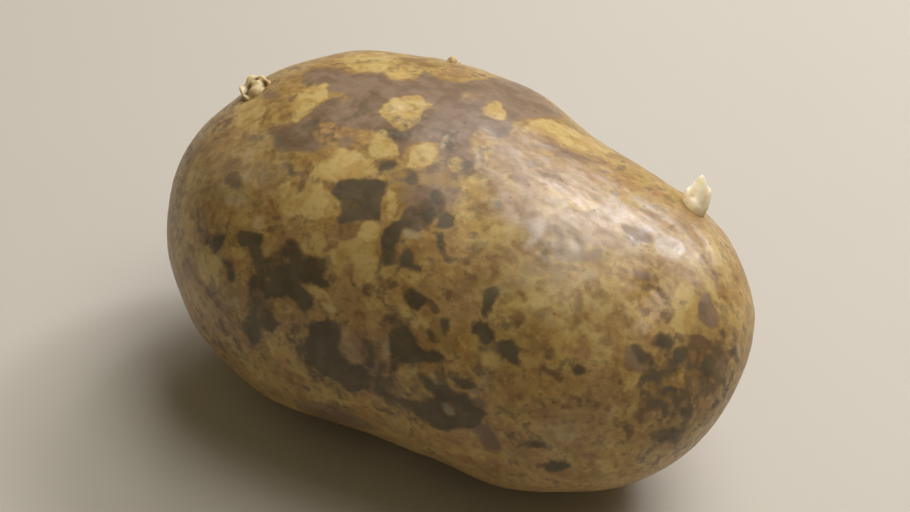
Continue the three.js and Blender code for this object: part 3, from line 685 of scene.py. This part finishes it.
class Shader:
    """A material's node tree, put together a node at a time."""

    def __init__(self, name):
        self.material = bpy.data.materials.new(name)
        self.material.use_nodes = True
        self.tree = self.material.node_tree
        self.surface = self.tree.nodes["Principled BSDF"]
        self.where = self.node("TexCoord").outputs["Object"]

    def feed(self, node, inputs):
        """Links an output to an input of a node, or sets the input's own number or colour."""
        for key, value in inputs.items():
            if isinstance(value, bpy.types.NodeSocket):
                self.tree.links.new(value, node.inputs[key])
            else:
                node.inputs[key].default_value = value

    def node(self, kind, inputs=None, **settings):
        made = self.tree.nodes.new("ShaderNode" + kind)
        for key, value in settings.items():
            setattr(made, key, value)
        self.feed(made, inputs or {})
        return made

    def noise(self, size_mm, detail=4.0, rough=0.55, where=None, twist=0.0):
        """Noise from 0 to 1 whose lumps are about this size."""
        inputs = {"Vector": where or self.where, "Scale": 1.0 / (size_mm * MM), "Detail": detail,
                  "Roughness": rough, "Distortion": twist}
        return self.node("TexNoise", inputs).outputs["Fac"]

    def shaken(self, size_mm, reach_mm):
        """The object's own coordinates, shaken by noise."""
        inputs = {"Vector": self.where, "Scale": 1.0 / (size_mm * MM), "Detail": 3.0}
        shake = self.node("TexNoise", inputs).outputs["Color"]
        inputs = {0: shake, 1: (2 * reach_mm * MM,) * 3, 2: self.where}
        return self.node("VectorMath", inputs, operation="MULTIPLY_ADD").outputs[0]

    def stretched(self, scale):
        """The object's own coordinates, scaled along each axis."""
        return self.node("VectorMath", {0: self.where, 1: scale}, operation="MULTIPLY").outputs[0]

    def cells(self, size_mm, out, where):
        """Cells of about this size: the distance from their middles, or a colour for each."""
        return self.node("TexVoronoi", {"Vector": where, "Scale": 1.0 / (size_mm * MM)}).outputs[out]

    def math(self, operation, *values):
        return self.node("Math", dict(enumerate(values)), operation=operation).outputs[0]

    def times(self, first, second):
        return self.math("MULTIPLY", first, second)

    def add(self, value, amount, base):
        """A value, times an amount, on top of a base."""
        return self.math("MULTIPLY_ADD", value, amount, base)

    def step(self, value, low, high, start=0.0, end=1.0):
        """A smooth step from start to end while the value goes from low to high."""
        inputs = {"Value": value, "From Min": low, "From Max": high, "To Min": start, "To Max": end}
        return self.node("MapRange", inputs, interpolation_type="SMOOTHSTEP").outputs["Result"]

    def mix(self, amount, first, second):
        """Two colours mixed."""
        return self.node("Mix", {0: amount, 6: first, 7: second}, data_type="RGBA").outputs[2]

    def ramp(self, value, stops):
        """A colour that goes through the stops, each a value and its colour."""
        made = self.node("ValToRGB", {0: value})
        elements = made.color_ramp.elements
        while len(elements) < len(stops):
            elements.new(0.5)
        for element, (position, colour) in zip(elements, stops):
            element.position = position
            element.color = colour
        return made.outputs["Color"]

    def painted(self, name):
        """A number kept with each point of the mesh."""
        return self.node("Attribute", attribute_name=name).outputs["Fac"]

    def bumps(self, *layers):
        """Relief of several layers: the height, how deep it is in mm, and how strong."""
        inputs = {}
        for height, depth_mm, strength in layers:
            inputs |= {"Height": height, "Distance": depth_mm * MM, "Strength": strength}
            inputs["Normal"] = self.node("Bump", inputs).outputs["Normal"]
        return inputs["Normal"]


# Materials.

GROUND = (                # the clean skin's colours, from the brown to the yellow side of its clouds
    (0.34, srgb(142, 108, 60)),
    (0.44, srgb(166, 132, 74)),
    (0.53, srgb(184, 152, 88)),
    (0.64, srgb(204, 174, 108)),
)
YELLOW = srgb(207, 180, 114)
GOLD = srgb(190, 157, 89)
OCHRE = srgb(164, 125, 74)
PINKISH = srgb(176, 142, 108)
OLIVE = srgb(142, 124, 72)
BROWN = srgb(142, 112, 72)
RUSSET = srgb(118, 90, 58)
MAUVE = srgb(141, 118, 97)
DUN = srgb(122, 99, 78)
SLATE = srgb(98, 86, 63)
INK = srgb(84, 73, 51)
CREAM = srgb(206, 188, 152)
# The pale colour of the painted highlight and painted sheen.
PAINTED_SHEEN_COLOUR = srgb(224, 210, 203)
SPECK = srgb(104, 78, 50)

DOT_CELL_MM = 3.4                  # each cell of this size may hold one small dot
SHEEN_STREAK_GRAIN = (0.5, 1.0, 1.0)      # the painted sheen's streaks and the wrinkles under them are twice as long as wide, along the tuber


def skin_material():
    shader = Shader("potato_skin")
    step, mix, times, add = shader.step, shader.mix, shader.times, shader.add
    shaken = shader.shaken(3.0, 0.5)
    broad = shader.noise(22.0, 2.0)
    patch = shader.noise(5.0, 1.0, 0.5, where=shaken)
    blot = shader.noise(2.2, 1.6, 0.5, where=shaken)
    fine = shader.noise(0.8, 4.0, 0.65)
    grain = shader.noise(0.30, 3.0, 0.6)
    tint = shader.noise(3.6, 2.0, 0.5, where=shader.stretched((1.0, 1.3, 0.8)))
    fleck = shader.noise(1.1, 2.0, 0.5, where=shader.stretched((0.8, 1.1, 1.0)))

    def ragged(name, by_patch, by_blot, by_fine):
        """A painted field with the uneven edges and flecks that a stain has."""
        value = shader.painted(name)
        for lumps, amount in ((patch, by_patch), (blot, by_blot), (fine, by_fine)):
            value = add(shader.math("SUBTRACT", lumps, 0.5), amount, value)
        return value

    yellow = step(ragged("yellow", 0.8, 1.4, 0.5), 0.18, 0.84)
    worn = shader.math("SUBTRACT", 1.0, yellow)

    # The clean skin: clouds of two sizes, then an ochre, an olive and a pinkish cast in places.
    clouds = add(shader.math("SUBTRACT", blot, patch), 0.45, patch)
    clouds = add(shader.math("SUBTRACT", fine, 0.5), 0.18, clouds)
    colour = shader.ramp(clouds, GROUND)
    colour = mix(step(tint, 0.50, 0.64, 0.0, 0.60), colour, OCHRE)
    colour = mix(step(tint, 0.46, 0.34, 0.0, 0.40), colour, OLIVE)
    colour = mix(step(broad, 0.50, 0.62, 0.0, 0.30), colour, PINKISH)
    colour = mix(times(yellow, 0.80), colour, mix(step(tint, 0.42, 0.60), YELLOW, GOLD))

    # Brown mottling, thick where it is painted and thin elsewhere.
    brown = step(ragged("brown", 0.9, 1.5, 0.6), 0.14, 0.86)
    brown = times(brown, step(yellow, 0.1, 1.0, 0.95, 0.35))
    colour = mix(brown, colour, mix(step(blot, 0.44, 0.60), BROWN, RUSSET))

    # Small brown and light flecks all over.
    spots = times(step(fleck, 0.54, 0.68, 0.0, 0.42), add(worn, 0.6, 0.4))
    colour = mix(spots, colour, RUSSET)
    colour = mix(step(fleck, 0.44, 0.32, 0.0, 0.30), colour, YELLOW)

    # The mauve-grey stain that the yellow shows through in windows, with a brown rim.
    mauve = ragged("mauve", 0.8, 1.1, 0.6)
    colour = mix(times(step(mauve, 0.06, 0.40), times(worn, 0.45)), colour, BROWN)
    mauve = times(step(mauve, 0.16, 0.80), times(worn, 0.9))
    colour = mix(mauve, colour, mix(step(tint, 0.40, 0.62), MAUVE, DUN))

    # Dark scabs with a russet rim, then pale corky marks.
    dark = ragged("dark", 0.7, 1.5, 0.85)
    colour = mix(times(step(dark, 0.08, 0.40), add(worn, 0.25, 0.15)), colour, RUSSET)
    dark = step(dark, 0.16, 0.84)
    colour = mix(times(dark, 0.95), colour, mix(step(tint, 0.40, 0.62), SLATE, INK))
    pale = step(ragged("pale", 0.3, 0.5, 0.2), 0.15, 0.90)
    colour = mix(times(pale, 0.5), colour, CREAM)

    # Painted highlight and painted sheen: pale streaks, and a thin haze of the same over the sheen zone,
    # with darker mauve-brown wisps between the streaks.
    painted_highlight = step(ragged("painted_highlight", 0.4, 0.8, 0.3), 0.10, 0.90)
    painted_sheen_zone = shader.painted("painted_sheen_zone")
    sheen_streaks = shader.noise(2.8, 2.0, 0.5, where=shader.stretched(SHEEN_STREAK_GRAIN), twist=0.8)
    colour = mix(times(step(sheen_streaks, 0.47, 0.34, 0.0, 0.45), painted_sheen_zone), colour, DUN)
    painted_highlight = shader.math("MAXIMUM", painted_highlight, times(step(sheen_streaks, 0.52, 0.66, 0.0, 0.45), painted_sheen_zone))
    colour = mix(add(painted_highlight, 0.45, times(painted_sheen_zone, 0.14)), colour, PAINTED_SHEEN_COLOUR)

    # Lenticels: some cells hold a small dot, a pale pore in a brown ring.
    cell = shader.cells(DOT_CELL_MM, "Distance", shaken)
    chosen = step(shader.cells(DOT_CELL_MM, "Color", shaken), 0.55, 0.60)
    ring = times(step(cell, 0.10, 0.06), chosen)
    pore = times(step(cell, 0.045, 0.025), chosen)
    colour = mix(times(ring, 0.45), colour, SPECK)
    colour = mix(times(pore, 0.5), colour, CREAM)

    rough = add(dark, 0.12, step(fine, 0.30, 0.70, 0.36, 0.52))
    rough = add(step(ragged("dull", 0.3, 0.6, 0.3), 0.15, 0.85), 0.35, rough)
    rough = add(painted_highlight, -0.12, rough)

    # Fine skin texture, with wrinkles in the painted sheen zone under it.
    wrinkle = times(shader.noise(4.4, 1.0, 0.5, where=shader.stretched(SHEEN_STREAK_GRAIN), twist=0.5), painted_sheen_zone)
    relief = shader.bumps((wrinkle, 0.9, 0.6), (blot, 0.20, 0.30), (fine, 0.08, 0.40),
                          (grain, 0.03, 0.40), (ring, 0.06, 0.6), (dark, -0.05, 0.6))
    shader.feed(shader.surface, {
        "Base Color": colour, "Roughness": rough, "Specular IOR Level": 0.5,
        "Coat Weight": 0.10, "Coat Roughness": 0.22, "Normal": relief, "Coat Normal": relief,
        "Subsurface Weight": 0.05, "Subsurface Radius": (1.0, 0.5, 0.2), "Subsurface Scale": 1.2 * MM,
    })
    return shader.material


def sprout_material(name, tip, foot, shade):
    """Pale shoot flesh: darker and browner at the foot, with painted shade in its hollows."""
    shader = Shader(name)
    step, mix = shader.step, shader.mix
    cloud = shader.noise(1.6, 4.0)
    fine = shader.noise(0.35, 4.0, 0.6)
    colour = mix(step(cloud, 0.35, 0.70, 0.0, 0.35), tip, foot)
    colour = mix(shader.painted("foot"), colour, foot)
    # Painted shade in the hollows.
    colour = mix(shader.painted("hollow_shade"), colour, shade)
    colour = mix(step(fine, 0.60, 0.74, 0.0, 0.35), colour, shade)
    shader.feed(shader.surface, {
        "Base Color": colour, "Roughness": step(fine, 0.3, 0.7, 0.40, 0.55),
        "Normal": shader.bumps((fine, 0.05, 0.5), (cloud, 0.12, 0.35)),
        "Subsurface Weight": 0.9, "Subsurface Radius": (1.0, 0.8, 0.55), "Subsurface Scale": 1.4 * MM,
    })
    return shader.material


def floor_material():
    shader = Shader("pale_floor")
    colour = shader.mix(shader.noise(160.0, 3.0), srgb(203, 198, 188), srgb(196, 191, 181))
    shader.feed(shader.surface, {"Base Color": colour, "Roughness": 0.75})
    return shader.material


# The tuber.

SWELLS = ((0.10, 9.0), (0.05, 3.6), (0.03, 1.5))     # the skin's low relief: its height and size in mm

# On the unseen sides, for each kind of mark: how many groups of them lie there, how small and how large
# a mark is in mm, and how strong.
STREWN = {
    "dark": (26, 1.5, 6.5, 1.0), "brown": (34, 1.5, 6.0, 0.9), "mauve": (16, 4.0, 12.0, 0.9),
    "yellow": (20, 2.0, 8.0, 0.9), "pale": (8, 0.8, 3.0, 0.7), "dull": (8, 1.0, 4.0, 0.6),
    # Painted sheen zones and painted highlights are strewn there too.
    "painted_sheen_zone": (5, 10.0, 22.0, 0.7), "painted_highlight": (9, 1.5, 7.0, 0.7),
}


def skin_relief(points, place):
    """How far each point of the skin is lifted, in metres."""
    lift = np.zeros(len(points))
    for seed, (height, size) in enumerate(SWELLS, 1):
        lift += height * grain_noise(points, size * MM, seed)
    for width, depth, *line in CREASES:
        gap, along = distance_to(points, route_of(place, pairs(line)))
        groove = np.exp(-(gap / (width * MM / 2)) ** 2)
        shoulders = np.exp(-((gap - width * MM) / (width * MM / 2)) ** 2)
        fade = np.sin(np.pi * np.clip(along, 0.02, 0.98)) ** 0.5
        lift += depth * fade * (0.45 * shoulders - groove)
    return lift * MM


def make_tuber():
    mesh = applied(mesh_from("skin", *welded("tuber")), "SUBSURF", levels=2)
    place = place_finder(tree_of(mesh))
    points, normals = points_of(mesh), normals_of(mesh)
    seen, shown = photographed(points, normals)
    hidden = np.nonzero(shown < 0.5)[0]
    for seed, (name, groups) in enumerate(STREWN.items(), 1):
        there = strewn_cover(points, normals, hidden, *groups, seed=seed) * (1.0 - shown)
        paint(mesh, name, 1.0 - (1.0 - seen_cover(name, seen, shown)) * (1.0 - there))

    points = points + normals * skin_relief(points, place)[:, None]
    points = np.clip(points, np.array(TUBER_LOW), np.array(TUBER_HIGH))
    move_points(mesh, points)
    return mesh


# The shoots.

VOXEL = 0.09 * MM
ROOT_REACH = 1.3 * MM    # how far from the skin a shoot is drawn down into it
ROOT_SINK = 0.9 * MM
LUMP_HIGH, LUMP_SIZE, LUMP_SEED = 0.05 * MM, 0.8 * MM, 11
SWOLLEN_ROUNDS, BACK_ROUNDS = 6, 5           # how often its points are evened out, swollen and after
HOLLOW_ROUNDS = 40                           # evened out as often as this, it shows where its hollows are, which get painted shade
HOLLOW_FROM, HOLLOW_FULL = 0.02 * MM, 0.16 * MM
FOOT_FULL, FOOT_END = 0.2 * MM, 1.6 * MM     # how far from the skin the foot's colour is full, and ends

# How wide a gap between scales is closed, in mm, and the colours of the tip, the foot and the painted shade
# in the hollows, which also colours fine flecks.
SHOOT_LOOKS = {
    "pointed_sprout": (0.55, srgb(250, 242, 222), srgb(222, 198, 140), srgb(196, 172, 118)),
    "rosette_bud": (0.30, srgb(228, 208, 164), srgb(180, 154, 104), srgb(126, 104, 72)),
    "button_bud": (0.20, srgb(208, 182, 136), srgb(178, 148, 100), srgb(124, 100, 68)),
}


def make_shoot(node, skin_tree, closing):
    """A shoot's CAD surface, rounded, with narrow gaps closed and its root sunk in the skin."""
    mesh = applied(mesh_from(node, *welded(node)), "REMESH", mode="VOXEL", voxel_size=VOXEL)
    move_points(mesh, points_of(mesh) + normals_of(mesh) * closing)
    mesh = applied(mesh, "REMESH", mode="VOXEL", voxel_size=VOXEL)
    move_points(mesh, evened(mesh, points_of(mesh), SWOLLEN_ROUNDS))
    move_points(mesh, points_of(mesh) - normals_of(mesh) * closing)
    points = evened(mesh, points_of(mesh), BACK_ROUNDS)
    gap = np.empty(len(points))
    for index, point in enumerate(points):
        spot, normal, _, distance = skin_tree.find_nearest(Vector(point))
        outside = (Vector(point) - spot).dot(normal)
        gap[index] = math.copysign(distance, outside)
        pull = 1.0 - ease(outside, 0.0, ROOT_REACH)
        points[index] = points[index] - np.array(normal) * ROOT_SINK * pull
    lumps = LUMP_HIGH * grain_noise(points, LUMP_SIZE, LUMP_SEED)
    move_points(mesh, points)
    points = points + normals_of(mesh) * lumps[:, None]
    move_points(mesh, points)

    # How deep each point lies in a hollow, for the painted shade there.
    hollow_shade = np.einsum("ij,ij->i", evened(mesh, points, HOLLOW_ROUNDS) - points, normals_of(mesh))
    paint(mesh, "hollow_shade", ease(hollow_shade, HOLLOW_FROM, HOLLOW_FULL))
    paint(mesh, "foot", 1.0 - ease(gap, FOOT_FULL, FOOT_END))
    return mesh


def piece(name, mesh, material, node, slot):
    made = placed(name, mesh)
    mesh.materials.clear()
    mesh.materials.append(material)
    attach(made, "root")
    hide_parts(node)
    return made


# The stage.

FLOOR_HALF = 4.0         # half the floor's width, in metres

# The lamps that light everything: round from +X and up from the floor in degrees, how far off, width
# and height in metres, watts and colour. They stand where the photograph's sheen and shading ask.
LAMPS = {
    "key": (77, 46, 0.90, 0.44, 0.26, 3.4, (1.0, 0.97, 0.98)),
    "side": (108, 45, 0.90, 0.46, 0.24, 1.8, (1.0, 0.97, 0.98)),
    "glint": (64, 45, 0.88, 0.15, 0.12, 1.3, (0.98, 0.98, 1.0)),
    "top": (60, 74, 0.95, 0.70, 0.45, 2.8, (1.0, 0.97, 0.90)),
    "right": (20, 62, 0.95, 0.60, 0.50, 1.4, (1.0, 0.95, 0.86)),
}

# The lamp beside the camera, and the sprout's own: where from, and then the same from how far off.
FILL = ((BACK + UP * 0.35 - RIGHT * 0.35).normalized(), 1.3, 1.0, 1.0, 0.76, (1.0, 0.85, 0.50))
LIFT = ((BACK + UP * 0.5 - RIGHT * 0.6).normalized(), 0.6, 0.10, 0.10, 2.0, (1.0, 0.97, 0.92))
ROOM_COLOUR, ROOM_STRENGTH = (0.96, 0.84, 0.56, 1.0), 0.10


def aim(thing, target):
    thing.rotation_euler = (target - thing.location).to_track_quat("-Z", "Y").to_euler()


def soft_light(name, target, towards, away, wide, high, watts, colour):
    lamp = bpy.data.lights.new(name, "AREA")
    lamp.shape = "RECTANGLE"
    lamp.size = wide
    lamp.size_y = high
    lamp.energy = watts
    lamp.color = colour
    made = placed(name, lamp)
    made.location = target + towards * away
    aim(made, target)
    return made


def make_floor():
    corners = np.array([(-1, -1, 0), (1, -1, 0), (1, 1, 0), (-1, 1, 0)]) * FLOOR_HALF
    mesh = mesh_from("floor", corners, np.array([(0, 1, 2, 3)]))
    mesh.materials.append(floor_material())
    placed("floor", mesh)


def make_camera():
    lens = bpy.data.cameras.new("camera")
    lens.lens = LENS
    lens.sensor_width = SENSOR
    lens.clip_start = 0.01
    lens.dof.use_dof = False
    camera = placed("camera", lens)
    camera.location = EYE
    aim(camera, LOOK_AT)
    bpy.context.scene.camera = camera


def make_lights(sprout):
    for name, (around, above, *rest) in LAMPS.items():
        around, above = math.radians(around), math.radians(above)
        towards = Vector((math.cos(around) * math.cos(above), math.sin(around) * math.cos(above),
                          math.sin(above)))
        soft_light(name, LOOK_AT, towards, *rest)
    soft_light("fill", LOOK_AT, *FILL)

    # The pointed sprout glows in the photograph, so it has a lamp that lights nothing else.
    shoot_low, shoot_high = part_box("pointed_sprout")
    lift = soft_light("lift", (shoot_low + shoot_high) / 2, *LIFT)
    lift.light_linking.receiver_collection = bpy.data.collections.new("lifted")
    lift.light_linking.receiver_collection.objects.link(sprout)

    world = bpy.data.worlds.new("studio")
    world.use_nodes = True
    background = world.node_tree.nodes["Background"].inputs
    background["Color"].default_value = ROOM_COLOUR
    background["Strength"].default_value = ROOM_STRENGTH
    bpy.context.scene.world = world
    bpy.context.scene.view_settings.view_transform = "Standard"
    bpy.context.scene.view_settings.look = "None"


make_camera()
make_floor()
skin = make_tuber()
skin_tree = tree_of(skin)
piece("potato_tuber", skin, skin_material(), "tuber", "tuber")
grown = {}
for shoot, (closing_mm, tip, foot, shade) in SHOOT_LOOKS.items():
    looks = sprout_material(shoot + "_flesh", tip, foot, shade)
    shape = make_shoot(shoot, skin_tree, closing_mm * MM)
    grown[shoot] = piece("grown_" + shoot, shape, looks, shoot, shoot)
make_lights(grown["pointed_sprout"])
